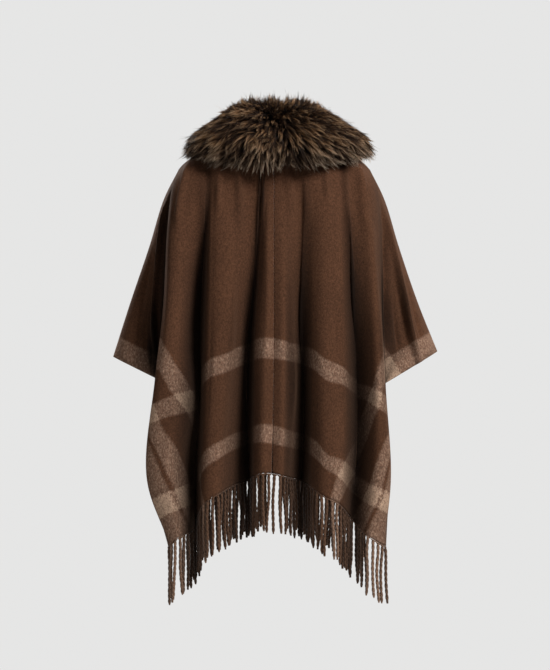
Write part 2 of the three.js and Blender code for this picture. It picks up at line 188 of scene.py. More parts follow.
# Creases laid on the cloth: where each starts and ends, as fold lines (or steps down the arm, on a wing)
# and shares of the way up, with its width and its height (below 0 for a trough), in millimetres
CREASE_COLUMNS = ("start", "end", "width", "height")
BACK_LEFT_CREASES = table(CREASE_COLUMNS, [
    ((1.7, 1.0), (1.7, 0.7), 10, -4),
    ((4.4, 1.0), (4.1, 0.68), 11, -7),
    ((5.6, 1.0), (5.5, 0.78), 10, -5),
    ((7.2, 1.0), (7.2, 0.78), 10, -7),
    ((7.6, 1.0), (7.6, 0.8), 7, -5),
    ((8.0, 1.0), (8.0, 0.8), 7, -6),
    ((7.45, 0.5), (7.5, -0.04), 18, -18),
    ((2.8, 0.94), (3.1, 0.04), 14, -12),
    ((7.0, 0.94), (7.1, 0.06), 15, -12),
    ((5.9, 0.8), (5.9, 0.1), 9, 3),
    ((4.5, 0.6), (4.9, 0.1), 15, -3.4),
    ((0.7, 0.8), (0.9, 0.3), 12, -2.4),
    ((8.6, 0.86), (8.4, 0.3), 13, -5),
])
BACK_RIGHT_CREASES = table(CREASE_COLUMNS, [
    ((1.5, 1.0), (1.6, 0.72), 11, -5),
    ((3.6, 1.0), (3.3, 0.7), 11, -4),
    ((5.4, 1.0), (5.3, 0.8), 9, -4),
    ((6.9, 1.0), (6.8, 0.76), 10, -5),
    ((7.8, 1.0), (7.9, 0.8), 8, -4),
    ((3.1, 0.94), (2.9, 0.04), 15, -11),
    ((6.9, 0.94), (7.0, 0.1), 15, -14),
    ((1.9, 0.56), (1.8, 0.0), 13, -7),
    ((5.6, 0.66), (5.9, 0.15), 13, 3),
    ((8.3, 0.8), (8.5, 0.1), 12, -3),
])
FRONT_CREASES = table(CREASE_COLUMNS, [
    ((1.5, 0.95), (1.6, 0.15), 12, -4),
    ((2.2, 0.7), (2.0, 0.1), 13, -7),
    ((3.6, 0.97), (3.3, 0.2), 14, -4),
    ((4.1, 0.8), (4.0, 0.1), 13, -7),
    ((4.6, 0.9), (4.8, 0.3), 13, 3),
    ((5.6, 0.9), (5.4, 0.1), 11, -4),
])
LEFT_WING_CREASES = table(CREASE_COLUMNS, [
    ((0.06, 0.95), (0.75, 0.6), 18, -15),
    ((0.42, 0.96), (0.9, 0.78), 14, 4),
    ((0.55, 0.8), (0.9, 0.6), 9, -4),
])
RIGHT_WING_CREASES = table(CREASE_COLUMNS, [
    ((0.1, 0.92), (1.5, 0.73), 12, -17),
    ((0.1, 0.88), (0.4, 0.54), 34, 18),
    ((0.4, 0.8), (0.8, 0.62), 13, 4),
    ((0.5, 0.97), (0.95, 0.9), 9, 3),
])
FRONT_WING_CREASES = table(CREASE_COLUMNS, [
    ((0.2, 0.9), (0.8, 0.7), 14, -6),
    ((0.4, 0.96), (0.9, 0.82), 12, 4),
])
BODY_HEIGHT = 740  # what a share of 1 measures on the body
WING_SIZE = (300, 450)  # what the whole arm and a share of 1 measure on a wing
CREASE_SWAY = {"share": 0.25, "waves": (4, 7)}  # how a crease wanders, in shares of its width
CREASE_UNEVEN = {"share": 0.35, "waves": (7, 12)}  # and how its height varies along it
CREASE_PHASE = (0, 6)
CREASE_FADE = {"end": 0.04, "power": 0.6}  # how it runs out at both ends
CREASE_START = {"seam": 2, "arm": 6, "ridge": 8}  # how soon creases set in from a panel's edges

# The collar: a section at each turn from the centre back, as reach from the neck's axis and height
COLLAR_CORNERS = ("foot", "top", "crest", "swell", "brow", "tip", "under")
COLLAR = table(("turn", *COLLAR_CORNERS), [
    (0, (90, 9), (70, 80), (100, 82), (148, 40), (160, -20), (130, -70), (113, -28)),
    (32, (87, 9), (68, 80), (98, 84), (154, 36), (172, -18), (140, -66), (113, -24)),
    (62, (82, 9), (66, 74), (90, 78), (150, 34), (188, -8), (172, -52), (122, -20)),
    (92, (78, 9), (64, 60), (84, 68), (138, 34), (182, 2), (190, -33), (130, -8)),
    (120, (82, 0), (68, 46), (90, 52), (144, 18), (176, -16), (172, -50), (120, -18)),
    (150, (90, -30), (76, 16), (98, 20), (148, -24), (162, -76), (150, -118), (122, -54)),
    (170, (96, -42), (86, -6), (104, -6), (146, -48), (156, -100), (144, -146), (128, -90)),
])
COLLAR_END = ((0.985, 1), (1, 0.75))  # the section shrinks at the front ends
RIGHT_REACH = 0.1  # the collar stands out more on the right, as a share of its reach
# The pelt under the hair, as a share of the collar's section, from its foot round to its foot again
PELT_PLACES = (0, 0.6, 1.6, 5, 6.3, 7)
PELT_SIZES = (0.96, 0.88, 0.52, 0.52, 0.84, 0.96)
PELT_STEPS = 96
PELT_SECTION = 28
PELT_TONE = 0.3
NECK_SHARE = 0.999  # the pelt's foot stays inside the neck edge
FUR_PIECES = ("fur_right_front", "fur_right_back", "fur_left_back", "fur_left_front")
CLUMPS_PER_PIECE = 1600
HAIRS_PER_CLUMP = 16
HAIR_POINTS = 4
HAIR_WIDTH = {"mean": 0.9, "spread": (0.6, 1.25), "along": (0.9, 1.0, 0.75)}
HAIR_LENGTH = (0.72, 1.04)
HAIR_TONE = 0.2
CLUMP_SPREAD = {"root": 6, "over": 0.7, "tip": 1.8, "loose": 11}
LOOSE_HAIR = 0.88  # hair beyond this share strays from its clump
FUR_ENDS = 0.995  # no clump grows nearer to the collar's front ends
FUR_SECTION = {"start": 0.1, "reach": 5.6, "jitter": 0.03}
GOLDEN_STEP = 0.618034  # from clump to clump round the section, which spreads them evenly
FUR_FLOW = (0.12, 0.62)  # how far a clump lies down round the section, and where it does so more
FUR_FLOW_MORE = ((0.35, 1.2, 2.4, 3.5, 5.4), (0.3, 0.5, 1.1, 1.0, 0.5))
FUR_REACH = {"mean": 0.97, "spread": 0.07, "long": 0.12, "upright": 0.16}
LONG_CLUMP = 0.82  # clumps beyond this share stand out further
UPRIGHT_SECTION = ((1.0, 2.1), (1, 0))
FUR_FAN = 0.05  # how far the hair turns outwards round the collar, as a share of it
FAN = ((0, 0.12, 0.5, 0.85), (0, 1, 1, 0))  # shares of the way round, and how much it does so there
FUR_DRIFT = {"fan": (0.5, 1.3), "swirl": 0.03, "spread": 0.02}
FUR_OVER = {"drift": 0.35, "flow": 0.25, "size": 0.87}  # where the hair bends over
GREY_CLUMPS = ((3.4, 4.8), (0, 0.16))  # more clumps are light towards the lower edge
GREY_HAIR = ((4.0, 5.6), (0, 1))  # and their colour turns grey
# Waves that vary the hair over the collar: size, and how fast they run round the neck and the section
TUFTS = ((0.05, 37, 1.3), (0.04, 83, -2))
SWIRLS = ((0.4, 23, 2.1), (0.3, 51, -3.3))
STREAKS = ((0.16, 31, 1.7),)

# Colours as steps of 0 to 255: wool by how many bands cross there, hair from its root to its tip
WOOL_COLOURS = ((0, (77, 50, 34)), (0.5, (117, 90, 74)), (0.86, (168, 140, 118)))
CORD_COLOURS = ((92, 66, 49), (122, 95, 77))
HAIR_COLOURS = {
    "dark": ((0, (9, 5, 3)), (0.5, (22, 13, 8)), (0.85, (50, 33, 21)), (1, (46, 31, 21))),
    "warm": ((0, (9, 5, 3)), (0.4, (46, 30, 18)), (0.75, (146, 108, 74)), (1, (204, 172, 136))),
    "grey": ((0, (9, 5, 3)), (0.4, (42, 31, 23)), (0.7, (158, 136, 114)), (1, (224, 210, 192))),
}
LIT_HAIR = (0.52, 1.0)  # tones over which hair turns from dark to light
# Painted shade: how far the base colour of the wool and the cords is darkened where they lie deep in a
# fold, hidden from the light
PAINTED_FOLD_SHADE = {"open": (0.44, 0.98), "wool": (0.07, 1.0), "cord": (0.3, 1.0)}

# The fringe: the scallops under the hem that the cords grow out of, and the plies of a cord
SCALLOP = {"least": 1.4, "depth": 7, "power": 1.6}
SCALLOP_WALL = {"middle": 0.8, "gathered": 0.5, "lower": 0.7}
CORD_RINGS = 48
CORD_SUNK = 3  # how far a cord reaches up into the scallop
CORD_UNEVEN = (-4, 3)  # how much shorter or longer a cord may be
CORD_SWAY = {"size": (0.8, 2.2), "flat": (1, 0.6), "waves": (1.0, 2.0), "start": 4}
CORD_TURNS = {"mean": 5.2, "spread": 0.6}
CORD_TAPER = ((0, 0.06, 0.5, 0.93, 1), (0.8, 1, 1, 0.96, 0.5))
PLY_SIDES = 5
PLY_RADIUS = 2.9
PLY_OFFSET = 0.85
PLY_CLOSE = ((0, 0.94, 1), (1, 1, 0.8))
PLY_LUMPS = {"size": 0.06, "waves": 31}

# The studio: the photo's frame, seen square from behind
VIEW = {"distance": 8.0, "plane": 0.05, "height": 1.407, "centre": (-0.002, -0.41), "sensor": 24}
FLOOR = {"height": -1.6, "size": 5.2, "colour": (0.64, 0.64, 0.635), "roughness": 0.9}
LIT_POINT = (0, 0.05, -0.4)  # all lights turn to this point
BACKDROP = (0.79, 0.79, 0.785)
AMBIENT = 0.04  # brightness of the surroundings as light; the backdrop is 0.79
LIGHTS = table(("name", "place", "size", "power"), [
    ("key", (-2.4, 2.6, 2.5), 1.3, 235),
    ("fill", (3.0, 2.7, 1.0), 1.8, 24),
    ("top", (-1.3, 0.9, 2.6), 1.6, 20),
    ("front key", (1.8, -3.4, 1.7), 1.5, 170),
    ("front fill", (-3.0, -2.7, 0.7), 1.8, 50),
])


def span(p0, p1, p2, p3, w):
    """A point of the smooth curve between p1 and p2, with uneven spacing taken into account."""
    d0, d1, d2 = (np.sum((b - a) ** 2, axis=-1, keepdims=True) ** 0.25
                  for a, b in ((p0, p1), (p1, p2), (p2, p3)))
    d1 = np.where(d1 < 1e-4, 1, d1)
    d0 = np.where(d0 < 1e-4, d1, d0)
    d2 = np.where(d2 < 1e-4, d1, d2)
    t1 = d1 * ((p1 - p0) / d0 - (p2 - p0) / (d0 + d1) + (p2 - p1) / d1)
    t2 = d1 * ((p2 - p1) / d1 - (p3 - p1) / (d1 + d2) + (p3 - p2) / d2)
    return ((2 * w ** 3 - 3 * w ** 2 + 1) * p1 + (w ** 3 - 2 * w ** 2 + w) * t1
            + (3 * w ** 2 - 2 * w ** 3) * p2 + (w ** 3 - w ** 2) * t2)


def through(points, index):
    """A smooth open line through points, at one or many fractional indexes."""
    points = np.asarray(points, float)
    place = np.clip(np.asarray(index, float), 0, len(points) - 1)
    step = np.minimum(place.astype(int), len(points) - 2)
    ends = np.vstack([2 * points[0] - points[1], points, 2 * points[-1] - points[-2]])
    return span(*(ends[step + k] for k in range(4)), (place - step)[..., None])


def around(points, index):
    """A smooth closed line through points, which hold one outline for each index."""
    count = points.shape[1]
    place = index % count
    step = np.minimum(place.astype(int), count - 1)
    corners = (points[np.arange(len(points)), (step + k) % count] for k in (-1, 0, 1, 2))
    return span(*corners, (place - step)[:, None])


def top_edge(panel, distance):
    """The top edge of a panel at a distance from the centre."""
    if distance < NECK["width"]:
        angle = np.arcsin(distance / NECK["width"])
        reach, drop = (NECK["back"], 0) if panel["face"] > 0 else (NECK["front"], NECK["front_drop"])
        return np.array([distance, panel["face"] * reach * np.cos(angle), -drop * np.cos(angle)])
    xs, zs = zip(*SHOULDER)
    return np.array([distance, 0, np.interp(distance, xs, zs)])


def fold_line(panel, fold, shares):
    """One fold line from the top edge down to the hem, at shares of the way up."""
    top = top_edge(panel, fold["top"])
    levels = [
        np.array([x, panel["face"] * depth, fold["hem"] + level * (top[2] - fold["hem"])])
        for x, depth, level in zip(fold["across"], fold["depth"], LEVELS[1:])
    ]
    shoulder = top + np.array(SHOULDER_ROUND) * (levels[0] - top)
    heights = [1, 1 + SHOULDER_ROUND[2] * (LEVELS[1] - 1), *LEVELS[1:]]
    index = np.interp(-np.asarray(shares), [-height for height in heights], range(len(heights)))
    return through([top, shoulder, *levels], index)


def body_grid(panel, shares, columns):
    """Points of the body of a panel, a row for each share and a column for each place among the folds."""
    lines = np.stack([fold_line(panel, fold, shares) for fold in panel["folds"]], axis=1)
    grid = np.stack([through(row, columns) for row in lines])
    return grid * np.array([panel["side"], 1, 1])


def wing_grid(panel, downs, alongs):
    """Points of the wing: alongs run down the arm, downs run from the arm to the notch."""
    side = np.array([panel["side"], 1, 1])
    last = len(panel["folds"]) - 1
    top = top_edge(panel, panel["folds"][last]["top"])
    places = [top, *((x, 0, z) for x, z in (*ARM, CORNERS[panel["side"]]))]
    arm = through(places, alongs * (len(places) - 1)) * side
    top = top * side
    notch = body_grid(panel, [NOTCH_SHARE], [last])[0, 0]
    inner = body_grid(panel, 1 - downs * (1 - NOTCH_SHARE), [last])[:, 0]
    straight = top + downs[:, None] * (notch - top)
    grid = arm[None] + downs[:, None, None] * (notch - arm[None])
    grid = grid + (inner - straight)[:, None] * ((1 - alongs) ** 2)[None, :, None]
    bow = np.sin(0.5 * np.pi * np.minimum(downs / ARM_ROUND["share"], 1) ** ARM_ROUND["power"])
    wave = np.sin(np.pi * downs)[:, None] * np.sin(WING_FOLD["count"] * np.pi * alongs)[None]
    out = ARM_ROUND["depth"] * (bow * (1 - downs))[:, None] + WING_FOLD["depth"] * wave
    grid[..., 1] += panel["face"] * alongs[None] * out
    return grid


def unit(vectors):
    """Vectors made one long."""
    return vectors / np.linalg.norm(vectors, axis=-1, keepdims=True)


def normals_of(points, faces):
    """Unit normals at the points of a mesh of triangles."""
    a, b, c = (points[faces[:, k]] for k in range(3))
    across = np.cross(b - a, c - a)
    normals = np.zeros_like(points)
    for k in range(3):
        np.add.at(normals, faces[:, k], across)
    return normals / np.maximum(np.linalg.norm(normals, axis=1, keepdims=True), 1e-9)


def running_length(grid):
    """Length along each row of a grid of points, from its first column."""
    steps = np.linalg.norm(np.diff(grid, axis=1), axis=-1)
    return np.concatenate([np.zeros((len(grid), 1)), np.cumsum(steps, axis=1)], axis=1)


def wave_along(way, form, rng):
    """A slow wave along a crease, with its pace and its start by chance."""
    return form["share"] * np.sin(way * rng.uniform(*form["waves"]) + rng.uniform(*CREASE_PHASE))


def crease_height(creases, columns, shares, size, rng):
    """How far soft troughs and ridges move the cloth in or out, in millimetres."""
    places = np.stack(np.broadcast_arrays(columns[None] * size[0], shares[:, None] * size[1]), axis=-1)
    height = np.zeros(places.shape[:2])
    for crease in creases:
        start, end = (np.array(crease[name]) * size for name in ("start", "end"))
        length = np.linalg.norm(end - start)
        ahead = (end - start) / length
        way = (places - start) @ ahead / length
        aside = (places - start) @ np.array([ahead[1], -ahead[0]])
        sway = crease["width"] * wave_along(way, CREASE_SWAY, rng)
        beyond = np.maximum(np.maximum(-way, way - 1), 0) * length
        inner = np.clip(way, CREASE_FADE["end"], 1 - CREASE_FADE["end"])
        fade = np.sin(np.pi * inner) ** CREASE_FADE["power"]
        uneven = 1 + wave_along(way, CREASE_UNEVEN, rng)
        off = np.hypot(aside - sway, beyond)
        height += crease["height"] * uneven * fade * np.exp(-(off / crease["width"]) ** 2)
    return height


def openness(rows, face):
    """How open to the light each point is among the folds of its row: 1 where nothing hides it."""
    across = np.abs(rows[..., 0])
    out = face * rows[..., 1]
    apart = across[:, None] - across[:, :, None]
    rise = np.maximum(out[:, None] - out[:, :, None], 0)
    slope = rise / np.maximum(np.abs(apart), 1)
    inner = np.where(apart < 0, slope, 0).max(axis=2)
    outer = np.where(apart > 0, slope, 0).max(axis=2)
    return 0.5 * (1 / np.hypot(1, inner) + 1 / np.hypot(1, outer))


def band(value, low, high):
    """How far inside a band a value is: above 0 inside, below 0 outside."""
    return np.minimum(value - low, high - value)


def column_of(rows, name, at, places):
    """One column of a short table, read between its rows."""
    return np.interp(places, [row[at] for row in rows], [row[name] for row in rows])


def sleeve_distance(points, panel, notch):
    """How far points lie up from the line of the sleeve edge, and how far along it from its corner."""
    corner = np.array(CORNERS[panel["side"]]) * (panel["side"], 1)
    way = unit(notch[[0, 2]] - corner)
    off = points[..., [0, 2]] - corner
    return panel["side"] * (way[1] * off[..., 0] - way[0] * off[..., 1]), off @ way


def bands_of(panel, body, columns, shares, wing, notch):
    """Signed distance into the crosswise and the lengthwise bands, for the body and for the wing."""
    over_hem = body[..., 2] - body[-1:, :, 2]
    weft = np.maximum(*(
        band(over_hem, *(column_of(panel["weft"], f"{edge}_{k}", "fold", columns)[None]
                         for edge in ("low", "high")))
        for k in (1, 2)
    ))
    across = running_length(body)
    edges = {name: column_of(panel["warp"], name, "share", shares)[:, None] for name in WARP_COLUMNS[1:]}
    if panel["face"] < 0:
        edges = {name: across[:, -1:] - size for name, size in edges.items()}
    warp = np.maximum.reduce([
        band(across, edges["inner_near"], edges["inner_far"]),
        band(across, edges["outer_near"], edges["outer_far"]),
        across - edges["thin_far"],
    ])
    warp = np.minimum(warp, (WARP_TOP - shares)[:, None] * BAND_END["share"])
    if panel["face"] > 0:
        beyond = (columns - SLEEVE_BAND_FOLD[panel["side"]]) * BAND_END["fold"]
        from_edge = sleeve_distance(body, panel, notch)[0]
        weft = np.maximum(weft, np.minimum(band(from_edge, 0, SLEEVE_BAND), beyond))
    from_edge, from_corner = sleeve_distance(wing, panel, notch)
    wing_weft = band(from_edge, -SLEEVE_WRAP, SLEEVE_BAND)
    wing_warp = np.full(wing_weft.shape, NO_BAND)
    if panel["crossing"]:
        from_notch = sleeve_distance(notch, panel, notch)[1] - from_corner
        wing_warp = SLEEVE_CROSSING - from_notch
    return weft, warp, wing_weft, wing_warp


def open_cloth(panel, body, body_height, wing, wing_height):
    """How open to the light the body and the wing are, with their creases."""
    out = np.array([0, panel["face"], 0])
    body = body + body_height[..., None] * out
    wing = wing + wing_height[..., None] * out
    above = openness(np.concatenate([body[:ROWS_ABOVE], wing[:, 1:]], axis=1), panel["face"])
    below = openness(body[ROWS_ABOVE:], panel["face"])
    count = body.shape[1]
    body_open = np.concatenate([above[:, :count], below])
    return body_open, np.concatenate([above[:, count - 1:count], above[:, count:]], axis=1)


def cloth_surface(panel, rng):
    """The middle surface of a panel: points, faces, edges to cut square, hem, bands and openness."""
    shares = np.concatenate([
        np.linspace(1, NOTCH_SHARE, ROWS_ABOVE + 1),
        np.linspace(NOTCH_SHARE, 0, ROWS_BELOW + 1)[1:],
    ])
    last = len(panel["folds"]) - 1
    columns = np.linspace(0, last, last * FOLD_STEPS + 1)
    body = body_grid(panel, shares, columns)
    downs = (1 - shares[:ROWS_ABOVE]) / (1 - NOTCH_SHARE)
    alongs = np.linspace(0, 1, WING_STEPS + 1)
    wing = wing_grid(panel, downs, alongs)
    notch = body[ROWS_ABOVE, -1]
    weft, warp, wing_weft, wing_warp = bands_of(panel, body, columns, shares, wing, notch)

    width = running_length(body)[:, -1].mean() / last
    body_height = crease_height(panel["creases"], columns, shares, (width, BODY_HEIGHT), rng)
    wing_height = crease_height(panel["wing_creases"], alongs, shares[:ROWS_ABOVE], WING_SIZE, rng)
    body_height *= np.clip(last - columns, 0, 1) * np.clip(CREASE_START["seam"] * columns, 0, 1)
    wing_height *= np.clip(CREASE_START["arm"] * alongs, 0, 1)
    wing_height *= np.clip(CREASE_START["ridge"] * downs, 0, 1)[:, None]
    body_open, wing_open = open_cloth(panel, body, body_height, wing, wing_height)

    body_index = np.arange(body.shape[0] * body.shape[1]).reshape(body.shape[:2])
    wing_index = np.zeros((ROWS_ABOVE + 1, WING_STEPS + 1), int)
    new_points = np.arange(ROWS_ABOVE * WING_STEPS).reshape(ROWS_ABOVE, -1)
    wing_index[:ROWS_ABOVE, 1:] = body_index.size + new_points
    wing_index[:ROWS_ABOVE, 0] = body_index[:ROWS_ABOVE, -1]
    wing_index[ROWS_ABOVE] = body_index[ROWS_ABOVE, -1]

    def joined(for_body, for_wing):
        flat = [for_body.reshape(body_index.size, -1), for_wing[:, 1:].reshape(ROWS_ABOVE * WING_STEPS, -1)]
        return np.concatenate(flat)

    points = joined(body, wing)
    faces = np.concatenate([grid_faces(body_index), grid_faces(wing_index)])
    faces = faces[(faces != np.roll(faces, 1, axis=1)).all(axis=1)]
    if panel["side"] * panel["face"] < 0:
        faces = faces[:, ::-1]
    points = points + normals_of(points, faces) * joined(body_height, wing_height)
    top_row = np.concatenate([body_index[0], wing_index[0, 1:]])
    ridge = top_row[np.abs(points[top_row, 1]) < NEAR_RIDGE]
    points[ridge, 1] = panel["face"] * np.maximum(panel["face"] * points[ridge, 1], SEAM_OPEN / 2)
    seam = body_index[:, 0] if panel["face"] > 0 else np.array([], int)
    points[seam, 0] += panel["side"] * SEAM_OPEN / 2
    points[seam, 1] -= SEAM_DIP
    return {
        "points": points,
        "faces": faces,
        "cuts": ((ridge, 1), (body_index[-1], 2), (seam, 0)),
        "hem": body_index[-1],
        "weft": joined(weft, wing_weft)[:, 0],
        "warp": joined(warp, wing_warp)[:, 0],
        "open": joined(body_open, wing_open)[:, 0],
    }


def grid_faces(index):
    """Two triangles for each cell of a grid of point numbers."""
    a, b, d, e = (index[:-1, :-1], index[:-1, 1:], index[1:, :-1], index[1:, 1:])
    return np.concatenate([np.stack(half, axis=-1).reshape(-1, 3) for half in ((a, d, b), (b, d, e))])


def offsets_of(surface):
    """Half the wall at each point, along the normal, or square to the edge where two pieces meet."""
    normals = normals_of(surface["points"], surface["faces"])
    for corners, axis in surface["cuts"]:
        normals[corners, axis] = 0
    return unit(normals) * WALL / 2


def wall(points, faces, offsets):
    """A closed wall of even thickness round a middle surface."""
    count = len(points)
    edges = np.concatenate([faces[:, [0, 1]], faces[:, [1, 2]], faces[:, [2, 0]]])
    key = edges[:, 0] * count + edges[:, 1]
    twin = edges[:, 1] * count + edges[:, 0]
    rim = edges[~np.isin(key, twin)]
    start, end = rim.T
    sides = np.concatenate([
        np.stack([start, start + count, end], axis=1),
        np.stack([end, start + count, end + count], axis=1),
    ])
    inside = faces[:, [0, 2, 1]] + count
    return np.concatenate([points + offsets, points - offsets]), np.concatenate([faces, inside, sides])


def add_object(name, data):
    """A new object in the scene."""
    made = bpy.data.objects.new(name, data)
    bpy.context.scene.collection.objects.link(made)
    return made


def add_mesh(name, points, faces, values):
    """A smooth mesh object from points in millimetres, with float attributes on its points."""
    mesh = bpy.data.meshes.new(name)
    mesh.vertices.add(len(points))
    mesh.vertices.foreach_set("co", (np.asarray(points) * MM).astype(np.float32).ravel())
    corners = np.asarray(faces, np.int32)
    mesh.loops.add(corners.size)
    mesh.loops.foreach_set("vertex_index", corners.ravel())
    mesh.polygons.add(len(corners))
    mesh.polygons.foreach_set("loop_start", np.arange(0, corners.size, corners.shape[1], dtype=np.int32))
    mesh.polygons.foreach_set("use_smooth", np.ones(len(corners), bool))
    mesh.update(calc_edges=True)
    for title, numbers in values.items():
        made = mesh.attributes.new(title, "FLOAT", "POINT")
        made.data.foreach_set("value", np.asarray(numbers, np.float32))
    piece = add_object(name, mesh)
    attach(piece, "root")
    return piece


def cloth_piece(name, panel, rng):
    """One panel of the cape. Returns the piece, and of its hem the points, offsets, bands and openness."""
    surface = cloth_surface(panel, rng)
    offsets = offsets_of(surface)
    points, faces = wall(surface["points"], surface["faces"], offsets)
    values = {title: np.tile(surface[title] * MM, 2) for title in ("weft", "warp")}
    # openness to the light among the folds, which the wool's painted shade darkens by
    values["open"] = np.tile(surface["open"], 2)
    piece = add_mesh(f"cloth_{name}", points, faces, values)
    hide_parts(name)
    hem = surface["hem"]
    banded = np.clip(0.5 + np.maximum(surface["warp"][hem], surface["weft"][hem]) / BAND_BLEND, 0, 1)
    return piece, surface["points"][hem], offsets[hem], banded, surface["open"][hem]


def cord_roots(line):
    """Where the cords hang from a hem, one every pitch along it, and how far along each is."""
    walked = np.concatenate([[0], np.cumsum(np.linalg.norm(np.diff(line, axis=0), axis=1))])
    places = np.arange(FRINGE_PITCH / 2, walked[-1], FRINGE_PITCH)
    roots = np.stack([np.interp(places, walked, line[:, k]) for k in range(3)], axis=1)
    return roots, places, walked


def ply_faces(rings, sides, first):
    """Faces of a tube whose rings follow each other, closed at both ends."""
    index = first + np.arange(rings * sides).reshape(rings, sides)
    wrapped = np.concatenate([index, index[:, :1]], axis=1)
    fan = [[index[0, 0], index[0, k], index[0, k + 1]] for k in range(1, sides - 1)]
    fan += [[index[-1, 0], index[-1, k + 1], index[-1, k]] for k in range(1, sides - 1)]
    return np.concatenate([grid_faces(wrapped)[:, ::-1], np.array(fan)])


def cord_mesh(root, number, rng):
    """One cord of two plies twisted round each other."""
    way = np.linspace(0, 1, CORD_RINGS)
    lean = CORD_LEAN * np.array([np.sin(CORD_STEP[0] * number + 1), np.sin(CORD_STEP[1] * number), 0])
    sway = rng.uniform(*CORD_SWAY["size"], 2) * np.array(CORD_SWAY["flat"])
    phase = rng.uniform(0, 2 * np.pi, 2)
    waves = rng.uniform(*CORD_SWAY["waves"], 2)
    middle = root + way[:, None] * lean
    length = CORD_LENGTH - CORD_SUNK + rng.uniform(*CORD_UNEVEN)
    middle[:, 2] = root[2] - CORD_START + CORD_SUNK - way * length
    wave = sway * np.sin(np.pi * waves * way[:, None] + phase)
    middle[:, :2] += wave * np.minimum(way * CORD_SWAY["start"], 1)[:, None]
    start = rng.uniform(0, np.pi)
    turns = CORD_TURNS["mean"] + CORD_TURNS["spread"] * rng.uniform(-1, 1)
    turn = start + 2 * np.pi * turns * way
    lumps = 1 + PLY_LUMPS["size"] * np.sin(PLY_LUMPS["waves"] * way + phase[0])
    radius = PLY_RADIUS * np.interp(way, *CORD_TAPER) * lumps
    apart = PLY_OFFSET * np.interp(way, *PLY_CLOSE)
    points, faces, along = [], [], []
    for ply in range(2):
        angle = turn + ply * np.pi
        out = np.stack([np.cos(angle), np.sin(angle), 0 * angle], axis=1)
        centre = middle + out * apart[:, None]
        around_ply = 2 * np.pi * np.arange(PLY_SIDES) / PLY_SIDES
        ring = np.stack([np.cos(around_ply), np.sin(around_ply), 0 * around_ply], axis=1)
        faces.append(ply_faces(CORD_RINGS, PLY_SIDES, ply * CORD_RINGS * PLY_SIDES))
        points.append((centre[:, None] + ring[None] * radius[:, None, None]).reshape(-1, 3))
        along.append(np.repeat(way, PLY_SIDES))
    return np.concatenate(points), np.concatenate(faces), np.concatenate(along)


def fringe_piece(name, hem, offsets, banded, opened, rng):
    """The scalloped edge under a hem and the cords that grow out of it, as one piece."""
    roots, places, walked = cord_roots(hem)
    nearest = np.abs(walked[:, None] - places[None]).min(axis=1)
    gather = np.clip(1 - nearest / (FRINGE_PITCH / 2), 0, 1)
    drop = SCALLOP["least"] + SCALLOP["depth"] * gather ** SCALLOP["power"]
    down = np.array([0, 0, -1])
    rows = [hem + (HEM_GAP + share * drop)[:, None] * down for share in (0, 0.5, 1)]
    faces = grid_faces(np.arange(3 * len(hem)).reshape(3, len(hem)))
    if name not in ("back_left", "front_right"):
        faces = faces[:, ::-1]
    gathered = SCALLOP_WALL["middle"] + SCALLOP_WALL["gathered"] * gather[:, None]
    thin = np.concatenate([offsets, offsets * gathered, offsets * SCALLOP_WALL["lower"]])
    edge_points, edge_faces = wall(np.concatenate(rows), faces, thin)
    size = len(edge_points)
    shades = (np.zeros(size), np.full(size, 0.5), np.tile(banded, 6), np.tile(opened, 6))
    parts = [(edge_points, edge_faces, *shades)]
    for number, (root, place) in enumerate(zip(roots, places)):
        cord, cord_faces, way = cord_mesh(root, number, rng)
        # the hem's openness at each cord goes on the cord, for its painted shade
        shades = (rng.uniform(), np.interp(place, walked, banded), np.interp(place, walked, opened))
        parts.append((cord, cord_faces + size, way, *(np.full(len(cord), shade) for shade in shades)))
        size += len(cord)
    points, faces, *values = (np.concatenate(column) for column in zip(*parts))
    piece = add_mesh(f"cords_{name}", points, faces, dict(zip(("along", "tone", "band", "open"), values)))
    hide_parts(f"fringe_{name}")
    return piece


def collar_points(place, index, size):
    """Points of the collar: place runs from -1 to 1 between its front ends, index round its section."""
    turn = np.abs(place) * (len(COLLAR) - 1)
    side = np.where(place < 0, -1, 1)
    angle = np.radians(through([(row["turn"], 0, 0) for row in COLLAR], turn)[..., 0])
    corners = np.stack([
        through([(row[corner][0], 0, row[corner][1]) for row in COLLAR], turn) for corner in COLLAR_CORNERS
    ], axis=-2)
    middle = corners.mean(axis=-2)
    point = around(corners, index)
    point = middle + (point - middle) * (size * np.interp(np.abs(place), *COLLAR_END))[..., None]
    reach_out = 1 + np.where(side < 0, RIGHT_REACH * np.sin(angle), 0)
    reach = point[..., 0] * np.where(point[..., 0] > COLLAR[0]["top"][0], reach_out, 1)
    return np.stack([side * reach * np.sin(angle), reach * np.cos(angle), point[..., 2]], axis=-1)


def neck_edge(point):
    """The place just inside and below the neck edge of the cloth, in the direction of a point."""
    face = 1 if point[1] > 0 else -1
    reach = NECK["back"] if face > 0 else NECK["front"]
    turn = np.arctan2(abs(point[0]) / NECK["width"], abs(point[1]) / reach)
    edge = top_edge({"face": face}, NECK_SHARE * NECK["width"] * np.sin(turn))
    return np.sign(point[0]) * edge[0], edge[1], edge[2] - WALL


def pelt_piece():
    """The pelt that the hair grows on: a closed form well inside the collar's outline."""
    places = np.repeat(np.linspace(-1, 1, PELT_STEPS + 1), PELT_SECTION)
    index = np.tile(np.arange(PELT_SECTION) * len(COLLAR_CORNERS) / PELT_SECTION, PELT_STEPS + 1)
    points = collar_points(places, index, np.interp(index, PELT_PLACES, PELT_SIZES))
    for point in points[PELT_SECTION - 1::PELT_SECTION]:
        point[:] = neck_edge(point)
    faces = ply_faces(PELT_STEPS + 1, PELT_SECTION, 0)[:, ::-1]
    none = np.zeros(len(points))
    piece = add_mesh("fur_pelt", points, faces, {"along": none, "tone": none + PELT_TONE, "low": none})
    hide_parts("fur_collar")
    return piece


def waves_of(terms, place, section):
    """The sum of a few slanting waves over the collar."""
    return sum(size * np.sin(along * place + round_it * section) for size, along, round_it in terms)


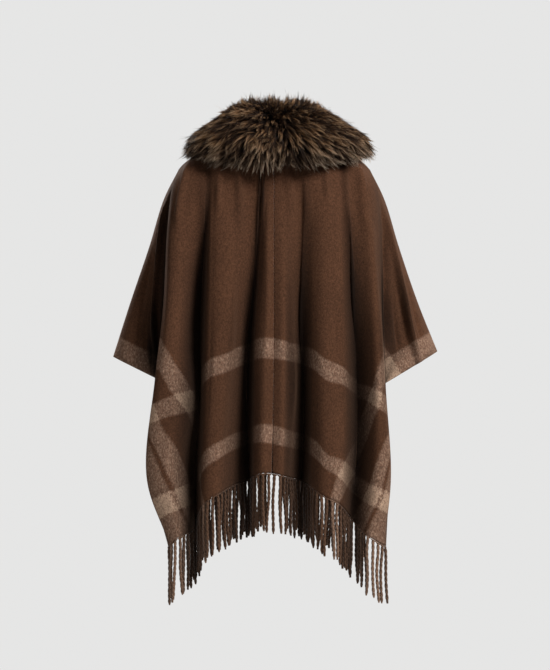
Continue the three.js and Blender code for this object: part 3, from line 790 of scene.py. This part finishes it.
def fur_piece(name, start, end, rng):
    """A quarter of the collar's hair: tapered ribbons that rise from the pelt and lie down in clumps."""
    clumps = CLUMPS_PER_PIECE
    place = start + (end - start) * (np.arange(clumps) + rng.uniform(-0.5, 0.5, clumps) + 0.5) / clumps
    place = np.clip(place, -FUR_ENDS, FUR_ENDS)
    section = (np.arange(clumps) * GOLDEN_STEP + rng.uniform(0, FUR_SECTION["jitter"], clumps)) % 1
    section = FUR_SECTION["start"] + FUR_SECTION["reach"] * section
    tone = rng.uniform(0, 1, clumps)
    hairs = clumps * HAIRS_PER_CLUMP
    of = np.repeat(np.arange(clumps), HAIRS_PER_CLUMP)

    flow = rng.uniform(*FUR_FLOW, clumps) * np.interp(section, *FUR_FLOW_MORE)
    goal = section + flow
    upright = np.interp(section, *UPRIGHT_SECTION) * rng.uniform(0, 1, clumps)
    long = rng.uniform(0, 1, clumps) > LONG_CLUMP
    reach = rng.normal(FUR_REACH["mean"], FUR_REACH["spread"], clumps) + waves_of(TUFTS, place, section)
    reach = reach + FUR_REACH["long"] * long + FUR_REACH["upright"] * upright ** 2
    side = np.sign(place) * np.interp(np.abs(place), *FAN)
    drift = FUR_FAN * side * rng.uniform(*FUR_DRIFT["fan"], clumps)
    drift = drift + FUR_DRIFT["swirl"] * waves_of(SWIRLS, place, section)
    drift = drift + rng.normal(0, FUR_DRIFT["spread"], clumps)
    tone = tone + waves_of(STREAKS, place, section) + np.interp(goal, *GREY_CLUMPS)
    tone = np.clip(tone, 0, 1)

    root = collar_points(place, section, np.interp(section, PELT_PLACES, PELT_SIZES))
    bend = np.clip(place + FUR_OVER["drift"] * drift, -1, 1)
    over = collar_points(bend, section + FUR_OVER["flow"] * flow, np.full(clumps, FUR_OVER["size"]))
    tip = collar_points(np.clip(place + drift, -1, 1), goal, reach)
    loose = rng.uniform(0, 1, hairs) > LOOSE_HAIR
    root_spread = rng.normal(0, CLUMP_SPREAD["root"] / 2, (hairs, 3))
    tip_size = np.where(loose, CLUMP_SPREAD["loose"], CLUMP_SPREAD["tip"])[:, None] / 2
    tip_spread = rng.normal(0, 1, (hairs, 3)) * tip_size
    length = rng.uniform(*HAIR_LENGTH, hairs)[:, None]

    way = np.linspace(0, 1, HAIR_POINTS)[None, :, None] * length[:, None]
    p0 = (root[of] + root_spread)[:, None]
    p1 = (over[of] + root_spread * CLUMP_SPREAD["over"])[:, None]
    p2 = (tip[of] + tip_spread)[:, None]
    line = (1 - way) ** 2 * p0 + 2 * way * (1 - way) * p1 + way ** 2 * p2

    heading = unit(np.gradient(line, axis=1))
    sideways = unit(np.cross(heading, rng.normal(0, 1, (hairs, 1, 3))))
    width = HAIR_WIDTH["mean"] / 2 * rng.uniform(*HAIR_WIDTH["spread"], (hairs, 1, 1))
    width = width * np.array(HAIR_WIDTH["along"])[None, :, None]
    half = sideways[:, :-1] * width
    pairs = np.stack([line[:, :-1] - half, line[:, :-1] + half], axis=2).reshape(hairs, -1, 3)
    points = np.concatenate([pairs, line[:, -1:]], axis=1)
    per_hair = points.shape[1]
    strip = [(k + k % 2, k + 1 - k % 2, k + 2) for k in range(per_hair - 2)]
    faces = (np.arange(hairs)[:, None, None] * per_hair + np.array(strip)).reshape(-1, 3)
    step = np.append(np.repeat(np.linspace(0, 1, HAIR_POINTS)[:-1], 2), 1.0)
    along = np.tile(step, hairs)
    tones = np.repeat(np.clip(tone[of] + rng.normal(0, HAIR_TONE, hairs), 0, 1), per_hair)
    low = np.repeat(np.interp(goal[of], *GREY_HAIR), per_hair)
    piece = add_mesh(name, points.reshape(-1, 3), faces, {"along": along, "tone": tones, "low": low})
    return piece


def new_material(name):
    """A node material with only its shader and output."""
    material = bpy.data.materials.new(name)
    material.use_nodes = True
    return material, material.node_tree, material.node_tree.nodes["Principled BSDF"]


def node(tree, kind, **settings):
    made = tree.nodes.new(kind)
    for name, value in settings.items():
        setattr(made, name, value)
    return made


def set_inputs(made, values):
    """Values on the sockets of a node, by their names."""
    for name, value in values.items():
        made.inputs[name].default_value = value


def attribute(tree, name):
    return node(tree, "ShaderNodeAttribute", attribute_name=name).outputs["Fac"]


def plug(tree, socket, value):
    """A number, a colour or another node's output on an input."""
    if isinstance(value, bpy.types.NodeSocket):
        tree.links.new(value, socket)
    else:
        socket.default_value = (*value, 1) if isinstance(value, tuple) else value


def math_node(tree, operation, first, second):
    """Two outputs or numbers, added or multiplied."""
    made = node(tree, "ShaderNodeMath", operation=operation)
    for socket, value in zip(made.inputs, (first, second)):
        plug(tree, socket, value)
    return made.outputs[0]


def product(tree, first, *others):
    """Outputs or numbers multiplied together."""
    for other in others:
        first = math_node(tree, "MULTIPLY", first, other)
    return first


def noise(tree, scale, stretch, detail, roughness):
    """Noise in the object's own space, stretched along the axes."""
    coordinates = node(tree, "ShaderNodeTexCoord")
    mapping = node(tree, "ShaderNodeMapping")
    set_inputs(mapping, {"Scale": stretch})
    tree.links.new(coordinates.outputs["Object"], mapping.inputs["Vector"])
    texture = node(tree, "ShaderNodeTexNoise")
    set_inputs(texture, {"Scale": scale, "Detail": detail, "Roughness": roughness})
    tree.links.new(mapping.outputs["Vector"], texture.inputs["Vector"])
    return texture.outputs["Fac"]


def ramp(tree, value, stops):
    """Colours along a value, from stops that hold a place and a colour of 0 to 255 steps."""
    made = node(tree, "ShaderNodeValToRGB")
    elements = made.color_ramp.elements
    while len(elements) < len(stops):
        elements.new(0.5)
    for element, (place, colour) in zip(elements, stops):
        element.position = place
        element.color = (*linear(colour), 1)
    tree.links.new(value, made.inputs["Fac"])
    return made.outputs["Color"]


def map_range(tree, value, low, high, to_low=0.0, to_high=1.0, smooth=False):
    made = node(tree, "ShaderNodeMapRange", interpolation_type="SMOOTHSTEP" if smooth else "LINEAR")
    set_inputs(made, {"From Min": low, "From Max": high, "To Min": to_low, "To Max": to_high})
    tree.links.new(value, made.inputs["Value"])
    return made.outputs["Result"]


def mix(tree, share, first, second):
    """A mix of two colours."""
    made = node(tree, "ShaderNodeMix", data_type="RGBA")
    for number, value in zip((0, 6, 7), (share, first, second)):
        plug(tree, made.inputs[number], value)
    return made.outputs[2]


def linear(colour):
    """A colour of 0 to 255 steps as linear light."""
    return tuple(c / 255 / 12.92 if c <= 10 else ((c / 255 + 0.055) / 1.055) ** 2.4 for c in colour)


def paint(tree, shader, colour, tone):
    """The base colour of a shader: a colour, made lighter or darker by a tone."""
    scaled = node(tree, "ShaderNodeVectorMath", operation="SCALE")
    tree.links.new(colour, scaled.inputs[0])
    tree.links.new(tone, scaled.inputs["Scale"])
    tree.links.new(scaled.outputs[0], shader.inputs["Base Color"])


def roughen(tree, shader, height, strength, distance):
    """Bumps on a shader, by a height, for fibres too fine to model."""
    bump = node(tree, "ShaderNodeBump")
    set_inputs(bump, {"Strength": strength, "Distance": distance})
    tree.links.new(height, bump.inputs["Height"])
    tree.links.new(bump.outputs["Normal"], shader.inputs["Normal"])


def wool_material():
    """Brushed wool: a heathered ground with lighter bands, lighter again where they cross, darkened by
    painted shade deep in the folds.
    """
    material, tree, shader = new_material("wool")
    wobble = map_range(tree, noise(tree, 520, (1, 1, 0.6), 3, 0.7), 0.3, 0.7, -0.0026, 0.0026)
    inside = (math_node(tree, "ADD", attribute(tree, name), wobble) for name in ("weft", "warp"))
    masks = (map_range(tree, value, -0.003, 0.003, smooth=True) for value in inside)
    heather = map_range(tree, noise(tree, 330, (1, 1, 0.6), 2, 0.6), 0.36, 0.64, 0.62, 1.3)
    count = product(tree, math_node(tree, "ADD", *masks), 0.5, heather)
    ground = ramp(tree, count, WOOL_COLOURS)
    fibre = noise(tree, 480, (1, 1, 0.7), 4, 0.7)
    fleck = noise(tree, 250, (1, 1, 0.8), 3, 0.65)
    cloud = noise(tree, 16, (1, 1, 0.6), 3, 0.5)
    tone = product(
        tree,
        map_range(tree, fibre, 0.3, 0.7, 0.64, 1.36),
        map_range(tree, fleck, 0.32, 0.68, 0.72, 1.28),
        map_range(tree, cloud, 0.3, 0.7, 0.93, 1.07),
        # painted shade: the base colour darkens where the cloth is little open to the light among its folds
        map_range(tree, attribute(tree, "open"), *PAINTED_FOLD_SHADE["open"], *PAINTED_FOLD_SHADE["wool"], smooth=True),
    )
    paint(tree, shader, ground, tone)
    roughen(tree, shader, math_node(tree, "ADD", fibre, fleck), 0.5, 0.0012)
    set_inputs(shader, {"Roughness": 0.95, "Specular IOR Level": 0.12})
    sheen = (*linear((190, 145, 115)), 1)
    set_inputs(shader, {"Sheen Weight": 0.16, "Sheen Roughness": 0.55, "Sheen Tint": sheen})
    return material


def cord_material():
    """Twisted wool cord, a little lighter than the cloth, with fine fibres round the plies, darkened by
    painted shade below deep folds.
    """
    material, tree, shader = new_material("cord")
    fibre = noise(tree, 700, (1, 1, 0.5), 3, 0.7)
    tone = product(
        tree,
        map_range(tree, fibre, 0.3, 0.7, 0.72, 1.28),
        map_range(tree, attribute(tree, "tone"), 0, 1, 0.84, 1.16),
        # painted shade: cords that hang below a deep fold of the hem are darkened by its openness to the
        # light
        map_range(tree, attribute(tree, "open"), *PAINTED_FOLD_SHADE["open"], *PAINTED_FOLD_SHADE["cord"]),
    )
    ground = mix(tree, attribute(tree, "band"), *(linear(colour) for colour in CORD_COLOURS))
    paint(tree, shader, ground, tone)
    roughen(tree, shader, fibre, 0.6, 0.0008)
    set_inputs(shader, {"Roughness": 0.92, "Specular IOR Level": 0.15, "Sheen Weight": 0.1})
    return material


def fur_material():
    """Hair that is near black at the root, golden brown along its middle and grey-beige at low tips."""
    material, tree, shader = new_material("fur")
    along = attribute(tree, "along")
    dark, warm, grey = (ramp(tree, along, stops) for stops in HAIR_COLOURS.values())
    light = mix(tree, attribute(tree, "low"), warm, grey)
    lit = map_range(tree, attribute(tree, "tone"), *LIT_HAIR, smooth=True)
    colour = mix(tree, lit, dark, light)
    tree.links.new(colour, shader.inputs["Base Color"])
    set_inputs(shader, {"Roughness": 0.6, "Specular IOR Level": 0.12})
    return material


def area_light(name, place, size, power):
    data = bpy.data.lights.new(name, "AREA")
    data.shape = "SQUARE"
    data.size = size
    data.energy = power
    light = add_object(name, data)
    light.location = place
    way = Vector(LIT_POINT) - Vector(place)
    light.rotation_euler = way.to_track_quat("-Z", "Y").to_euler()


def studio():
    """A pale floor, a plain backdrop, soft lights and the camera."""
    half = FLOOR["size"] / 2
    corners = ((-half, -half), (half, -half), (half, half), (-half, half))
    mesh = bpy.data.meshes.new("floor")
    mesh.from_pydata([(x, y, FLOOR["height"]) for x, y in corners], [], [(0, 1, 2, 3)])
    floor = add_object("floor", mesh)
    material, _, shader = new_material("floor")
    set_inputs(shader, {"Base Color": (*FLOOR["colour"], 1), "Roughness": FLOOR["roughness"]})
    mesh.materials.append(material)

    world = bpy.data.worlds.new("studio")
    world.use_nodes = True
    tree = world.node_tree
    seen = tree.nodes["Background"]
    seen.inputs["Color"].default_value = (*BACKDROP, 1)
    lit = node(tree, "ShaderNodeBackground")
    lit.inputs["Color"].default_value = (*(AMBIENT * share for share in BACKDROP), 1)
    choice = node(tree, "ShaderNodeMixShader")
    tree.links.new(node(tree, "ShaderNodeLightPath").outputs["Is Camera Ray"], choice.inputs[0])
    tree.links.new(lit.outputs[0], choice.inputs[1])
    tree.links.new(seen.outputs[0], choice.inputs[2])
    tree.links.new(choice.outputs[0], tree.nodes["World Output"].inputs["Surface"])
    bpy.context.scene.world = world
    for light in LIGHTS:
        area_light(**light)

    data = bpy.data.cameras.new("camera")
    data.sensor_fit = "VERTICAL"
    data.sensor_height = VIEW["sensor"]
    data.lens = data.sensor_height * VIEW["distance"] / VIEW["height"]
    camera = add_object("camera", data)
    x, z = VIEW["centre"]
    camera.location = (x, VIEW["plane"] + VIEW["distance"], z)
    camera.rotation_euler = (np.pi / 2, 0, np.pi)
    bpy.context.scene.camera = camera
    bpy.context.scene.view_settings.view_transform = "Standard"


# The panels. side: 1 on the wearer's left. face: 1 on the back. cut and area: width and length, and area,
# of the cloth that a panel is cut from, in metres.
PANEL_COLUMNS = ("name", "side", "face", "folds", "weft", "warp", "creases", "wing_creases", "crossing",
                 "cut", "area")
PANELS = table(PANEL_COLUMNS, [
    ("back_left", 1, 1, BACK_LEFT_FOLDS, LEFT_WEFT, LEFT_WARP, BACK_LEFT_CREASES, LEFT_WING_CREASES, False,
     (0.56, 0.86), 0.33),
    ("back_right", -1, 1, BACK_RIGHT_FOLDS, RIGHT_WEFT, RIGHT_WARP, BACK_RIGHT_CREASES, RIGHT_WING_CREASES,
     True, (0.54, 0.86), 0.30),
    ("front_left", 1, -1, FRONT_FOLDS, FRONT_WEFT, FRONT_WARP, FRONT_CREASES, FRONT_WING_CREASES, False,
     (0.48, 0.82), 0.25),
    ("front_right", -1, -1, FRONT_FOLDS, FRONT_WEFT, FRONT_WARP, FRONT_CREASES, FRONT_WING_CREASES, False,
     (0.48, 0.82), 0.25),
])

rng = np.random.default_rng(SEED)
wool, cord, fur = wool_material(), cord_material(), fur_material()
for panel in PANELS:
    name = panel["name"]
    cloth, *hem = cloth_piece(name, panel, rng)
    cloth.data.materials.append(wool)
    fringe = fringe_piece(name, *hem, rng)
    fringe.data.materials.append(cord)
pelt_piece().data.materials.append(fur)
for number, name in enumerate(FUR_PIECES):
    width = 2 / len(FUR_PIECES)
    start = -1 + number * width
    fur_piece(name, start, start + width, rng).data.materials.append(fur)
studio()
